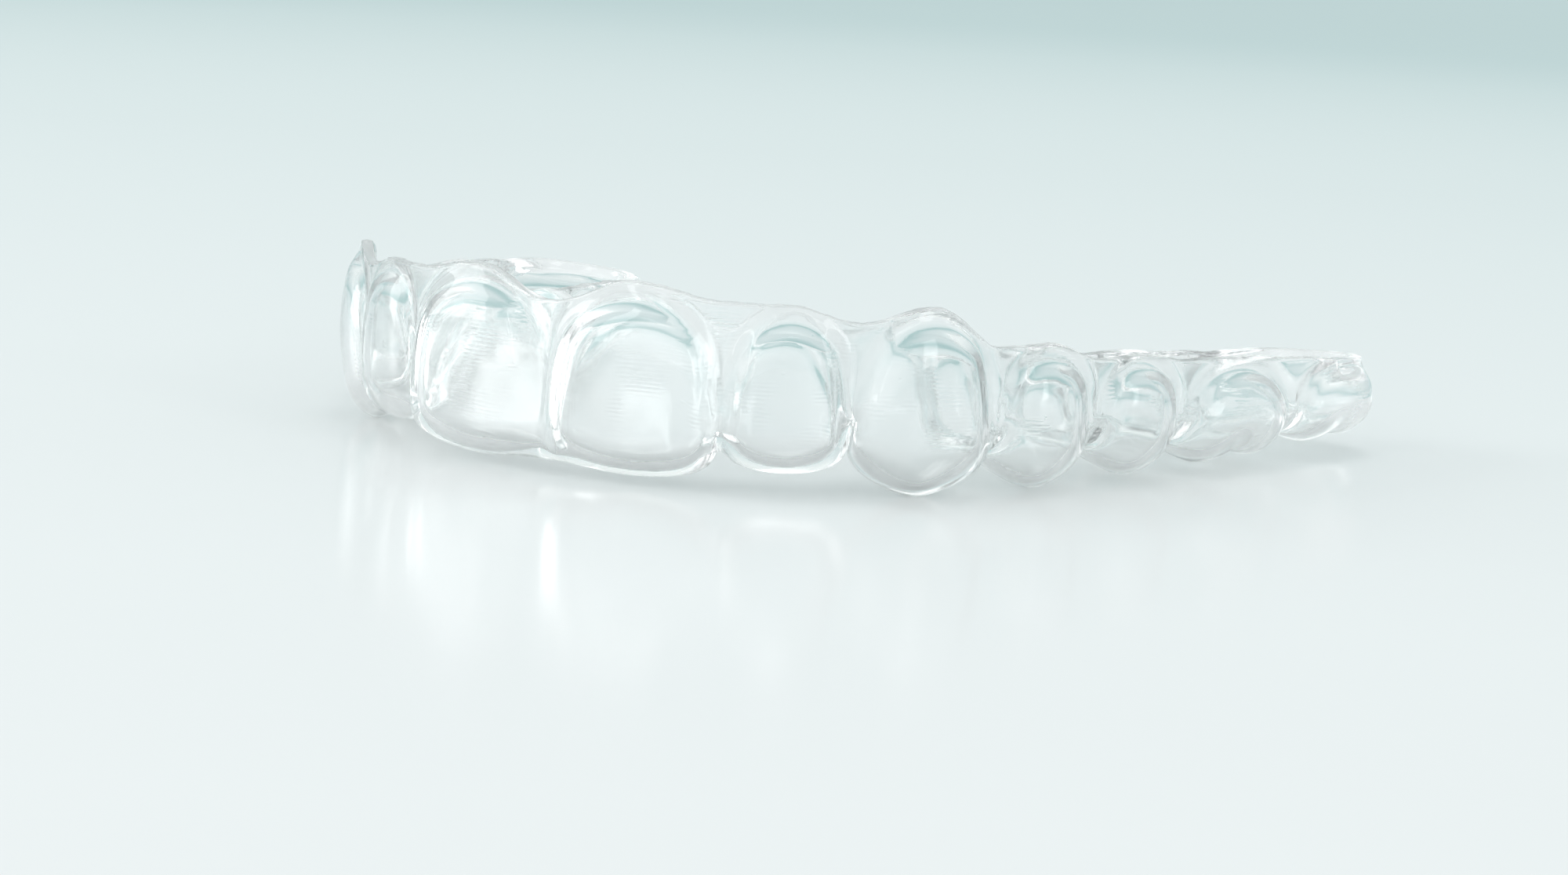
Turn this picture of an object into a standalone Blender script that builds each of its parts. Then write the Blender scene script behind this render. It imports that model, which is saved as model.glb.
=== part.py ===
"""Clear aligner for an upper dental arch.

One thin clear plastic sheet, drawn hot over a model of fourteen crowns and their gum, then trimmed in
waves just past the gum line. It is one piece: a channel that follows the arch, closed along the biting
edges and round both ends, and open on the gum side.

Frame: metres, +Z up. The biting edges point down and the open side faces up, the way the aligner stands
on a table. X runs across the arch, with the midline at x = 0, and the front teeth face -Y. The origin is
at the middle of the footprint, on the level of the lowest cusps.

The surface is worked out in millimetres and set down in metres. Half of it is a loft of unlike cross
sections along the arch; a Mirror makes the other half and a Solidify gives the sheet its thickness.
"""

from dataclasses import dataclass

import bpy
import numpy as np

MM = 0.001

# Driving dimensions, in millimetres
SHEET = 0.6
TIGHTEST_INNER_FOLD = 0.5
ARCH_HALF_WIDTH = 28.1
ARCH_DEPTH = 40.2
ARCH_FRONT_SHARE = 0.34
BOW_KEPT = 0.8
WIDEST_AT = 0.32
TIP_NARROWING = 0.05
NARROWING_POWER = 1.5
HIGHEST_RISE = 1.15
GUM_INSET = 0.5
END_GUM_INSET = 0.1
GUM_UNDERLAP = 0.8
BACK_GUM_DROP = 0.7
WEB_INSET = 0.95
WEB_LEAST_SHARE = 0.5
NECK_ROUNDING = 1.9
NECK_CURL = 0.10
GUM_DOME_POWER = 2.0
GUM_DOME_FULLNESS = 0.75
LEAST_GUM_DEPTH = 0.5
GROOVE_BLEND = 0.35
GUM_BLEND = 0.8
GUM_EDGE_ROUNDING = 1.4
WEB_BLEND = 0.4
WEB_EDGE_ROUNDING = 1.4
CUSP_ROUNDING = 1.2
CUSP_BLEND = 0.9
END_ADVANCE = 1.6
END_SQUARENESS = 2.4

# How finely the loft follows the surface
STATIONS_ALONG = 62
STATIONS_ROUND_END = 8
POINTS_PER_SIDE = 11
CONTACT_CROWDING = 1.6
CONTACT_CROWDING_REACH = 0.9
TURN_WEIGHT = 1.2
RAYS_ON_WALL = 50
RAYS_ON_NOSE = 46
RAY_STEP = 0.15
RAY_REACH = 9.0
HALVINGS = 14
LOOKUP_POINTS = 4001
ARCH_REACH = 1.4
TINY = 1e-6


@dataclass
class Crown:
    """One tooth form of the half arch, with the sheet over it.

    Face and back offsets are measured from the arch line at the biting edge, at mid height and at the
    neck. Each cusp is (along the arch, across it, height over the tip) from the crown's centre.
    """

    name: str
    width: float
    tip: float
    gum: float
    trim: float
    back_trim: float
    face: tuple
    back: tuple
    neck_share: float
    squareness: float
    back_taper: float
    edge_rounding: float
    edge_curl: float = 0.0
    cusps: tuple = ()
    cusp_slope: float = 0.0


CROWNS = (
    Crown("central incisor", 9.15, 0.45, 9.85, 10.65, 9.0, (0.9, 1.7, 1.25), (-1.5, -3.0, -6.2),
          0.75, 4.4, 0.30, 1.4, edge_curl=0.035),
    Crown("lateral incisor", 6.6, 1.15, 9.4, 9.95, 8.3, (0.9, 1.5, 1.1), (-1.6, -2.9, -5.8),
          0.75, 3.6, 0.22, 1.4, edge_curl=0.05),
    Crown("canine", 8.05, 0.0, 9.4, 10.1, 8.2, (0.95, 2.05, 1.5), (-1.6, -3.9, -6.8),
          0.76, 3.0, 0.25, 1.4, cusps=((0.0, 0.0, 0.0),), cusp_slope=0.52),
    Crown("first premolar", 7.1, 0.12, 7.4, 8.1, 6.9, (0.8, 1.95, 1.35), (-6.7, -8.0, -7.5),
          0.86, 2.7, 0.12, 1.3, cusps=((0.0, -0.3, 0.0), (0.3, -5.4, 0.9)), cusp_slope=0.62),
    Crown("second premolar", 7.1, 0.4, 6.65, 7.25, 6.3, (0.8, 1.85, 1.3), (-6.8, -8.0, -7.5),
          0.86, 2.7, 0.12, 1.3, cusps=((0.0, -0.3, 0.0), (0.2, -5.3, 0.4)), cusp_slope=0.58),
    Crown("first molar", 10.85, 0.4, 5.9, 6.75, 5.9, (0.9, 1.9, 1.35), (-8.2, -9.4, -8.8),
          0.90, 3.0, 0.08, 1.3, cusp_slope=0.50,
          cusps=((-2.5, -0.4, 0.2), (2.3, -0.5, 0.3), (-2.0, -6.3, 0.0), (2.4, -6.0, 0.7))),
    Crown("second molar", 9.65, 0.95, 5.35, 6.0, 5.3, (0.9, 1.8, 1.3), (-7.8, -9.0, -8.4),
          0.90, 2.8, 0.10, 1.3, cusp_slope=0.50,
          cusps=((-2.1, -0.5, 0.0), (2.0, -0.7, 0.1), (-1.7, -5.9, 0.0), (1.8, -5.6, 0.7))),
)

# Heights at the eight edges between crowns, from the midline to the far side of the last molar: where the
# sheet bridges two crowns, where the gum comes to a point, and where the sheet is trimmed
WEB_LOW = (0.7, 2.2, 3.2, 2.3, 2.2, 2.0, 1.7, 2.1)
GUM_POINT = (8.2, 6.8, 6.5, 5.6, 5.1, 4.5, 4.2, 4.2)
TRIM_VALLEY = (9.2, 9.95, 9.2, 8.0, 7.15, 6.8, 6.35, 6.0)
BACK_TRIM_VALLEY = (8.2, 8.2, 7.9, 6.9, 6.4, 6.0, 5.6, 5.4)

# The rays that find each cross section start this far above its lowest point
RAY_RISE_OVER_WEB = 1.1
RAY_RISE_OVER_INCISOR = 1.25
RAY_RISE_OVER_CANINE = 2.4
RAY_RISE_OVER_MOLAR = 3.1

EDGES = np.concatenate([[0.0], np.cumsum([crown.width for crown in CROWNS])])
MIDDLES = (EDGES[1:] + EDGES[:-1]) / 2
END_OF_ROW = MIDDLES[-1]
LABIAL = 1
LINGUAL = -1


def soft_max(a, b, blend):
    """The larger of two distances, rounded over the given width where they cross."""
    overlap = np.maximum(blend - np.abs(a - b), 0.0) / blend
    return np.maximum(a, b) + overlap * overlap * blend / 4


def soft_min(a, b, blend):
    return -soft_max(-a, -b, blend)


def level_at_knots(at, knots, values):
    """Values between knots, joined by curves that are level at every knot."""
    knots = np.asarray(knots, float)
    values = np.asarray(values, float)
    index = np.clip(np.searchsorted(knots, at, side="right") - 1, 0, len(knots) - 2)
    share = np.clip((at - knots[index]) / (knots[index + 1] - knots[index]), 0.0, 1.0)
    share = share * share * (3 - 2 * share)
    return values[index] * (1 - share) + values[index + 1] * share


def edges_and_middles(at_edges, at_middles):
    """Knots and values that go from edge to middle to edge along the row of crowns."""
    knots = np.empty(len(EDGES) + len(MIDDLES))
    values = np.empty(len(knots))
    knots[0::2] = EDGES
    knots[1::2] = MIDDLES
    values[0::2] = at_edges
    values[1::2] = at_middles
    return knots, values


def through_three(share, three):
    """The parabola that takes the three values at shares 0, 1/2 and 1."""
    low, middle, high = three
    share = np.clip(share, 0.0, HIGHEST_RISE)
    outer_pair = low * (2 * share - 1) * (share - 1) + high * share * (2 * share - 1)
    return outer_pair + middle * 4 * share * (1 - share)


def arch_depth(x):
    """How far back the arch line is. A square term rounds the front, a fourth power straightens the sides."""
    share = x / ARCH_HALF_WIDTH
    return ARCH_DEPTH * (ARCH_FRONT_SHARE * share**2 + (1 - ARCH_FRONT_SHARE) * share**4)


def arch_slope(x):
    share = x / ARCH_HALF_WIDTH
    rate = 2 * ARCH_FRONT_SHARE * share + 4 * (1 - ARCH_FRONT_SHARE) * share**3
    return ARCH_DEPTH / ARCH_HALF_WIDTH * rate


def arch_line():
    """Points of the arch line and its length up to each, for looking up places by length."""
    x = np.linspace(0.0, ARCH_REACH * ARCH_HALF_WIDTH, LOOKUP_POINTS)
    length = np.concatenate([[0.0], np.cumsum(np.hypot(np.diff(x), np.diff(arch_depth(x))))])
    return x, length


ARCH_X, ARCH_LENGTH = arch_line()


def arch_frame(at):
    """Point, direction backwards, and outward normal of the arch line at a length from the midline."""
    x = np.interp(at, ARCH_LENGTH, ARCH_X)
    y = arch_depth(x)
    slope = arch_slope(x)
    along = np.stack([np.ones_like(slope), slope], -1) / np.hypot(1.0, slope)[..., None]
    outward = np.stack([along[..., 1], -along[..., 0]], -1)
    return np.stack([x, y], -1), along, outward


def crown_frame(index):
    """Centre and axes of a crown, square to the chord between its two edges."""
    start = arch_frame(EDGES[index])[0]
    end = arch_frame(EDGES[index + 1])[0]
    middle = arch_frame(MIDDLES[index])[0]
    along = (end - start) / np.linalg.norm(end - start)
    outward = np.array([along[1], -along[0]])
    centre = (start + end) / 2
    return centre + outward * ((middle - centre) @ outward) * BOW_KEPT, along, outward


CROWN_FRAMES = [crown_frame(index) for index in range(len(CROWNS))]


def crown_sides(crown, x, y, rise):
    """Distance outside the crown's walls: a rounded oblong, widest low down and tapered to the back."""
    face = through_three(rise, crown.face)
    back = through_three(rise, crown.back)
    middle = (face + back) / 2
    half_depth = (face - back) / 2
    below = np.clip(1 - rise / WIDEST_AT, 0.0, 1.0)
    above = np.clip((rise - WIDEST_AT) / (1 - WIDEST_AT), 0.0, HIGHEST_RISE)
    narrowing = TIP_NARROWING * below**2 + (1 - crown.neck_share) * above**2
    towards_back = np.clip((middle - y) / half_depth, 0.0, 1.0)
    back_narrowing = crown.back_taper * towards_back**NARROWING_POWER
    half_width = crown.width / 2 * (1 - narrowing) * (1 - back_narrowing)
    power = crown.squareness
    across = np.abs(x) / half_width + TINY
    deep = np.abs(y - middle) / half_depth + TINY
    level = (across**power + deep**power) ** (1 / power)
    turned = np.hypot(across ** (power - 1) / half_width, deep ** (power - 1) / half_depth)
    steepness = level ** (1 - power) * turned
    return (level - 1) / np.maximum(steepness, TINY)


def biting_height(crown, x, y):
    """Height of the biting surface over the tip: a gently curled edge, or cones blended at the cusps."""
    if not crown.cusps:
        return crown.edge_curl * x**2
    height = None
    for cusp_x, cusp_y, cusp_z in crown.cusps:
        reach = np.sqrt((x - cusp_x) ** 2 + (y - cusp_y) ** 2 + CUSP_ROUNDING**2)
        cone = cusp_z + crown.cusp_slope * (reach - CUSP_ROUNDING)
        height = cone if height is None else soft_min(height, cone, CUSP_BLEND)
    return height


def crown_distance(crown, frame, x, y, z):
    """Distance outside the sheet over one crown."""
    centre, along, outward = frame
    across = (x - centre[0]) * along[0] + (y - centre[1]) * along[1]
    deep = (x - centre[0]) * outward[0] + (y - centre[1]) * outward[1]
    height = z - crown.tip
    sides = crown_sides(crown, across, deep, height / (crown.gum - crown.tip))
    below = (biting_height(crown, across, deep) - height) / np.hypot(1.0, crown.cusp_slope)
    # The last crown has no neighbour, so its neck stays level to its far side
    curled = np.minimum(across, 0.0) if crown is CROWNS[-1] else across
    above = z - crown.gum + NECK_CURL * curled**2
    return soft_max(soft_max(sides, below, crown.edge_rounding), above, NECK_ROUNDING)


def row_of_crowns(x, y, z):
    """All crowns of the half arch, with the first one of the other half, joined at sharp grooves."""
    joined = crown_distance(CROWNS[0], CROWN_FRAMES[0], -x, y, z)
    for crown, frame in zip(CROWNS, CROWN_FRAMES):
        joined = soft_min(joined, crown_distance(crown, frame, x, y, z), GROOVE_BLEND)
    return joined


def row_offsets(at, z):
    """Face and back offsets of the row from the arch line, smooth from crown to crown."""
    face = [level_at_knots(at, MIDDLES, [crown.face[k] for crown in CROWNS]) for k in range(3)]
    back = [level_at_knots(at, MIDDLES, [crown.back[k] for crown in CROWNS]) for k in range(3)]
    tip = level_at_knots(at, MIDDLES, [crown.tip for crown in CROWNS])
    gum = level_at_knots(at, MIDDLES, [crown.gum for crown in CROWNS])
    rise = (z - tip) / (gum - tip)
    return through_three(rise, face), through_three(rise, back)


def gum_line(at):
    """Height of the gum's edge: a dome over each crown, coming to a point between two."""
    index = np.clip(np.searchsorted(EDGES, at, side="right") - 1, 0, len(CROWNS) - 1)
    half_width = np.array([crown.width for crown in CROWNS])[index] / 2
    place = np.clip((at - MIDDLES[index]) / half_width, -1.0, 1.0)
    point = np.where(place < 0, np.array(GUM_POINT)[index], np.array(GUM_POINT)[index + 1])
    top = np.array([crown.gum for crown in CROWNS])[index]
    return point + (top - point) * (1 - np.abs(place) ** GUM_DOME_POWER) ** GUM_DOME_FULLNESS


def trim_line(at, side):
    """Height at which the sheet is cut, in waves."""
    if side == LABIAL:
        knots, heights = edges_and_middles(TRIM_VALLEY, [crown.trim for crown in CROWNS])
    else:
        knots, heights = edges_and_middles(BACK_TRIM_VALLEY, [crown.back_trim for crown in CROWNS])
    return level_at_knots(at, knots, heights)


@dataclass
class Fan:
    """The half planes that cut the sheet, one for each station.

    Along the row they stand square to the arch, one to the face and one to the back. Past the middle of
    the last molar they swing together, until both point straight off the end of the row.
    """

    at: np.ndarray
    swing: np.ndarray

    def __post_init__(self):
        self.point, self.along, self.outward = arch_frame(self.at)
        self.row_at = np.minimum(self.at, END_OF_ROW)[:, None]
        self.past_row = np.maximum(self.at - END_OF_ROW, 0.0)[:, None]

    def direction(self, side):
        swing = self.swing[:, None]
        return np.cos(swing) * self.along + side * np.sin(swing) * self.outward

    def trim(self, side):
        """The two trim heights, brought to one height at the end of the row."""
        at = np.minimum(self.at, EDGES[-1])
        share = 0.5 * np.clip(1 - self.swing / (np.pi / 2), 0.0, 1.0)
        return trim_line(at, side) * (1 - share) + trim_line(at, -side) * share


def ray_starts(fan, side):
    """Core offset, start height, and outward and downward parts of each ray of a half plane.

    Level rays run down the wall from the trim, then rays fan from level to straight down.
    """
    rises = [RAY_RISE_OVER_INCISOR, RAY_RISE_OVER_INCISOR, RAY_RISE_OVER_CANINE] + [RAY_RISE_OVER_MOLAR] * 4
    over_middles = [crown.tip + rise for crown, rise in zip(CROWNS, rises)]
    over_edges = [low + RAY_RISE_OVER_WEB for low in WEB_LOW]
    hub = level_at_knots(np.minimum(fan.at, END_OF_ROW), *edges_and_middles(over_edges, over_middles))
    top = fan.trim(side)
    share = np.linspace(0.0, 1.0, RAYS_ON_WALL)
    wall = top[:, None] + (hub - top)[:, None] * share
    angle = np.linspace(np.pi / 2, 0.0, RAYS_ON_NOSE)[1:]
    start_z = np.concatenate([wall, np.repeat(hub[:, None], len(angle), axis=1)], axis=1)
    out = np.concatenate([np.ones(RAYS_ON_WALL), np.sin(angle)])
    down = np.concatenate([np.zeros(RAYS_ON_WALL), np.cos(angle)])
    face, back = row_offsets(fan.row_at, start_z)
    return (face + back) / 2, start_z, out, down


def gum_distance(fan, side, core, out_by, z):
    """Distance outside the sheet over the gum, a wall set in a little from the necks of the crowns."""
    neck_face = level_at_knots(fan.row_at, MIDDLES, [crown.face[2] for crown in CROWNS])
    back = row_offsets(fan.row_at, z)[1]
    sideways = (neck_face - core if side == LABIAL else core - back) - GUM_INSET
    last = CROWNS[-1]
    endways = np.maximum(last.width / 2 - END_GUM_INSET - fan.past_row, LEAST_GUM_DEPTH)
    sine = np.sin(fan.swing)[:, None]
    cosine = np.maximum(np.cos(fan.swing)[:, None], TINY)
    level = (sine / sideways) ** END_SQUARENESS + (cosine / endways) ** END_SQUARENESS
    wall = level ** (-1 / END_SQUARENESS)
    drop = GUM_UNDERLAP + (BACK_GUM_DROP * sine if side == LINGUAL else 0.0)
    lower_edge = gum_line(fan.row_at) - drop
    return soft_max(out_by - wall, lower_edge - z, GUM_EDGE_ROUNDING)


def web_distance(fan, side, core, out_by, z):
    """Distance outside the web that the sheet draws between two crowns."""
    face, back = row_offsets(fan.row_at, z)
    half_depth = face - core if side == LABIAL else core - back
    wall = np.maximum(half_depth - WEB_INSET, half_depth * WEB_LEAST_SHARE)
    wall = np.maximum(wall, SHEET + TIGHTEST_INNER_FOLD)
    low = level_at_knots(fan.row_at, EDGES, WEB_LOW)
    distance = soft_max(out_by - wall, low - z, WEB_EDGE_ROUNDING)
    return np.where(fan.past_row > 0, RAY_REACH, distance)


def sheet_points(fan, side, core, start_z, out, down, length):
    """Where the rays are after the given length."""
    heading = fan.direction(side)
    start_x = fan.point[:, None, 0] + fan.outward[:, None, 0] * core
    start_y = fan.point[:, None, 1] + fan.outward[:, None, 1] * core
    x = start_x + heading[:, None, 0] * length * out
    y = start_y + heading[:, None, 1] * length * out
    return x, y, start_z - length * down


def sheet_distance(fan, side, core, start_z, out, down, length):
    """Distance outside the sheet at the given length along each ray."""
    x, y, z = sheet_points(fan, side, core, start_z, out, down, length)
    out_by = length * out
    joined = soft_min(row_of_crowns(x, y, z), gum_distance(fan, side, core, out_by, z), GUM_BLEND)
    return soft_min(joined, web_distance(fan, side, core, out_by, z), WEB_BLEND)


def half_sections(fan, side):
    """The first place where each ray leaves the crowns, found by steps and then by halving."""
    core, start_z, out, down = ray_starts(fan, side)
    inside = np.zeros(start_z.shape)
    outside = np.full(start_z.shape, RAY_REACH)
    searching = np.ones(start_z.shape, bool)
    for length in np.arange(RAY_STEP, RAY_REACH, RAY_STEP):
        distance = sheet_distance(fan, side, core, start_z, out, down, np.full(start_z.shape, length))
        found = searching & (distance > 0)
        outside[found] = length
        searching &= ~found
        inside[searching] = length
    for _ in range(HALVINGS):
        middle = (inside + outside) / 2
        beyond = sheet_distance(fan, side, core, start_z, out, down, middle) > 0
        outside = np.where(beyond, middle, outside)
        inside = np.where(beyond, inside, middle)
    return np.stack(sheet_points(fan, side, core, start_z, out, down, (inside + outside) / 2), axis=-1)


def respaced(line, count):
    """The same line with few points, closer together where it turns."""
    step = np.diff(line, axis=0)
    length = np.linalg.norm(step, axis=1)
    heading = step / np.maximum(length, TINY)[:, None]
    turn = np.arccos(np.clip((heading[1:] * heading[:-1]).sum(axis=1), -1.0, 1.0))
    weight = np.concatenate([[0.0], np.cumsum(length + TURN_WEIGHT * np.concatenate([[0.0], turn]))])
    wanted = np.linspace(0.0, weight[-1], count)
    return np.stack([np.interp(wanted, weight, line[:, axis]) for axis in range(3)], axis=-1)


def stations():
    """Places of the cross sections: closer at the contacts, then swinging round the last molar."""
    fine = np.linspace(0.0, END_OF_ROW, LOOKUP_POINTS)
    crowding = np.ones_like(fine)
    for edge in EDGES[:-1]:
        crowding += CONTACT_CROWDING * np.exp(-(((fine - edge) / CONTACT_CROWDING_REACH) ** 2))
    share = np.concatenate([[0.0], np.cumsum((crowding[1:] + crowding[:-1]) / 2)])
    along = np.interp(np.linspace(0.0, share[-1], STATIONS_ALONG), share, fine)
    turn = np.linspace(0.0, 1.0, STATIONS_ROUND_END + 1)[1:]
    at = np.concatenate([along, END_OF_ROW + END_ADVANCE * turn])
    swing = np.pi / 2 * np.concatenate([np.ones(STATIONS_ALONG), 1 - turn])
    return Fan(at, swing)


def half_sheet():
    """Grid of points on the outer surface: one row for each station, from the face trim to the back trim."""
    fan = stations()
    face = half_sections(fan, LABIAL)
    back = half_sections(fan, LINGUAL)
    rows = []
    for face_line, back_line in zip(face, back):
        down = respaced(face_line, POINTS_PER_SIDE)
        up = respaced(back_line[::-1], POINTS_PER_SIDE)
        rows.append(np.concatenate([down, up[1:]]))
    grid = np.array(rows)
    grid[0, :, 0] = 0.0
    return grid


def centred(grid):
    """The grid moved so that the origin is at the middle of the footprint, under the lowest cusp."""
    low_y = grid[..., 1].min()
    high_y = grid[..., 1].max()
    return grid - np.array([0.0, (low_y + high_y) / 2, grid[..., 2].min()])


def sheet_faces(rows, columns):
    """Quads of the grid. The last row folds shut, so its two halves share their points."""

    def corner(row, column):
        if row == rows - 1:
            column = min(column, columns - 1 - column)
        return row * columns + column

    faces = []
    for row in range(rows - 1):
        for column in range(columns - 1):
            quad = (corner(row, column), corner(row, column + 1),
                    corner(row + 1, column + 1), corner(row + 1, column))
            faces.append(quad)
    return faces


def add_sheet(name, collection):
    """The half surface as a mesh, mirrored over the midline and thickened towards the teeth."""
    grid = centred(half_sheet())
    rows, columns = grid.shape[:2]
    used_points = (rows - 1) * columns + columns // 2 + 1
    mesh = bpy.data.meshes.new(name)
    points = grid.reshape(-1, 3)[:used_points] * MM
    mesh.from_pydata(points.tolist(), [], sheet_faces(rows, columns))
    mesh.update()
    mesh.shade_smooth()
    sheet = bpy.data.objects.new(name, mesh)
    collection.objects.link(sheet)
    mirror = sheet.modifiers.new("other half", "MIRROR")
    mirror.merge_threshold = 0.00001
    thickness = sheet.modifiers.new("sheet thickness", "SOLIDIFY")
    thickness.thickness = SHEET * MM
    thickness.offset = -1.0
    return sheet


def clear_plastic():
    """Clear thermoformed plastic: colourless, glossy, with the faintest green-blue cast."""
    material = bpy.data.materials.new("clear_plastic")
    material.use_nodes = True
    shader = material.node_tree.nodes["Principled BSDF"]
    shader.inputs["Base Color"].default_value = (0.90, 0.96, 0.96, 1.0)
    shader.inputs["Metallic"].default_value = 0.0
    shader.inputs["Roughness"].default_value = 0.06
    shader.inputs["IOR"].default_value = 1.53
    shader.inputs["Transmission Weight"].default_value = 1.0
    return material


def main():
    for old in list(bpy.data.objects):
        bpy.data.objects.remove(old, do_unlink=True)
    collection = bpy.data.collections.new("clear_aligner")
    bpy.context.scene.collection.children.link(collection)
    sheet = add_sheet("aligner_sheet", collection)
    sheet.data.materials.append(clear_plastic())


main()
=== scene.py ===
# %% [markdown]
# # A clear aligner in Blender
# A clear aligner is one thin sheet of plastic. It is heated, sucked down over a printed model of the
# teeth, and cut loose along a wavy line just past the gum. There is nothing to assemble, so the whole
# lesson is about one surface: how it folds over seven crowns and into the grooves between them, how
# thick it is, how its edge is cut, and how light goes through it.
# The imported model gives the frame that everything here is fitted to, so it is loaded first.

# %% Load the frame
import bpy
import numpy as np
from mathutils import Matrix, Vector


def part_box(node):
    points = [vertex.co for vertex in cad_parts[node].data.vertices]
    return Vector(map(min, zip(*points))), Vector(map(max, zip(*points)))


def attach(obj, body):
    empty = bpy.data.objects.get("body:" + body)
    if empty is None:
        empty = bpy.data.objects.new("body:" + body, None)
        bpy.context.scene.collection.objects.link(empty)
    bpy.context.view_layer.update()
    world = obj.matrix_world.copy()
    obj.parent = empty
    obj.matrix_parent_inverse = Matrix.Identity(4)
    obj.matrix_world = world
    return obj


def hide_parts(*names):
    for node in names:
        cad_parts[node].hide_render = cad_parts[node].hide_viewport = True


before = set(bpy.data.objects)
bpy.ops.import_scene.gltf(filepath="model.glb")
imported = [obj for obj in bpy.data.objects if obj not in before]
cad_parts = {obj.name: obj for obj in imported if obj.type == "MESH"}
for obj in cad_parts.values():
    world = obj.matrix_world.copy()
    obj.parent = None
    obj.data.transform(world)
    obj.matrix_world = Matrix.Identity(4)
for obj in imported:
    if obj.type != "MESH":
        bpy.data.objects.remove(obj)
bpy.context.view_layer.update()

# %% [markdown]
# ## Units and small helpers
# Dental work is measured in millimetres, and the scene is in metres. The surface is worked out in
# millimetres and set down in metres by one factor. Colours are written as sRGB hex values, the way a
# colour picker shows them, and turned to the linear values that a shader adds up.

# %% Units, colour and a node helper
MM = 0.001


def linear(hex_colour):
    """An sRGB hex value as the linear colour that a shader takes."""
    channels = [int(hex_colour[k:k + 2], 16) / 255 for k in (1, 3, 5)]
    dark = [c / 12.92 for c in channels]
    bright = [((c + 0.055) / 1.055) ** 2.4 for c in channels]
    return tuple(b if c > 0.04045 else d for c, d, b in zip(channels, dark, bright)) + (1.0,)


def add_node(tree, kind, settings=None, links=None):
    """A shader node with its settings, and with its inputs set to values or linked to other sockets."""
    node = tree.nodes.new(kind)
    for name, value in (settings or {}).items():
        setattr(node, name, value)
    for name, value in (links or {}).items():
        if isinstance(value, bpy.types.NodeSocket):
            tree.links.new(value, node.inputs[name])
        else:
            node.inputs[name].default_value = value
    return node


print("white paper is", linear("#ffffff"), "in linear values")

# %% [markdown]
# ## The row of crowns
# Half of an upper arch has seven crowns: two incisors, a canine, two premolars and two molars. Each
# could be sculpted by hand, but then the sheet would have to be wrapped round it afterwards. Here each
# crown is a formula that says how far a point is outside it, so the crowns can be blended and the
# sheet can be found at any distance from them. A crown is given by what a technician would measure:
# its width, the height of its tip and of its gum line, how far its face and its back stand from the
# line of the arch at the edge, half way and at the neck, and its cusps.

# %% Seven crowns, in millimetres
# name, width, tip, gum, trim, back trim, face offsets, back offsets, neck share, squareness,
# back taper, edge rounding, edge curl, cusps (along, across, height), cusp slope
CROWNS = (
    ("central incisor", 9.15, 0.45, 9.85, 10.65, 9.0, (0.9, 1.7, 1.25), (-1.5, -3.0, -6.2),
     0.75, 4.4, 0.30, 1.4, 0.035, (), 0.0),
    ("lateral incisor", 6.6, 1.15, 9.4, 9.95, 8.3, (0.9, 1.5, 1.1), (-1.6, -2.9, -5.8),
     0.75, 3.6, 0.22, 1.4, 0.05, (), 0.0),
    ("canine", 8.05, 0.0, 9.4, 10.1, 8.2, (0.95, 2.05, 1.5), (-1.6, -3.9, -6.8),
     0.76, 3.0, 0.25, 1.4, 0.0, ((0.0, 0.0, 0.0),), 0.52),
    ("first premolar", 7.1, 0.12, 7.4, 8.1, 6.9, (0.8, 1.95, 1.35), (-6.7, -8.0, -7.5),
     0.86, 2.7, 0.12, 1.3, 0.0, ((0.0, -0.3, 0.0), (0.3, -5.4, 0.9)), 0.62),
    ("second premolar", 7.1, 0.4, 6.65, 7.25, 6.3, (0.8, 1.85, 1.3), (-6.8, -8.0, -7.5),
     0.86, 2.7, 0.12, 1.3, 0.0, ((0.0, -0.3, 0.0), (0.2, -5.3, 0.4)), 0.58),
    ("first molar", 10.85, 0.4, 5.9, 6.75, 5.9, (0.9, 1.9, 1.35), (-8.2, -9.4, -8.8),
     0.90, 3.0, 0.08, 1.3, 0.0,
     ((-2.5, -0.4, 0.2), (2.3, -0.5, 0.3), (-2.0, -6.3, 0.0), (2.4, -6.0, 0.7)), 0.50),
    ("second molar", 9.65, 0.95, 5.35, 6.0, 5.3, (0.9, 1.8, 1.3), (-7.8, -9.0, -8.4),
     0.90, 2.8, 0.10, 1.3, 0.0,
     ((-2.1, -0.5, 0.0), (2.0, -0.7, 0.1), (-1.7, -5.9, 0.0), (1.8, -5.6, 0.7)), 0.50),
)
(NAMES, WIDTHS, TIPS, GUMS, TRIMS, BACK_TRIMS, FACES, BACKS, NECK_SHARES, SQUARENESSES,
 BACK_TAPERS, EDGE_ROUNDINGS, EDGE_CURLS, CUSPS, CUSP_SLOPES) = zip(*CROWNS)

# Heights at the eight edges between crowns: the bridge of sheet, the gum's point, and both trims
WEB_LOW = (0.7, 2.2, 3.2, 2.3, 2.2, 2.0, 1.7, 2.1)
GUM_POINT = (6.8, 5.4, 5.1, 4.3, 4.0, 3.6, 3.4, 4.2)
TRIM_VALLEY = (9.2, 9.95, 9.2, 8.0, 7.15, 6.8, 6.35, 6.0)
BACK_TRIM_VALLEY = (8.2, 8.2, 7.9, 6.9, 6.4, 6.0, 5.6, 5.4)

EDGES = np.concatenate([[0.0], np.cumsum(WIDTHS)])
MIDDLES = (EDGES[1:] + EDGES[:-1]) / 2
END_OF_ROW = MIDDLES[-1]
print("half row:", round(float(EDGES[-1]), 1), "mm over", len(NAMES), "crowns")

# %% [markdown]
# ## Blending
# Two forms that meet on a real sheet never meet at a knife edge, because the hot plastic bridges the
# corner. A bevel could round it afterwards, but here the forms are distances, and a rounded maximum
# and minimum of two distances bridge the corner as the plastic does.

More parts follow.
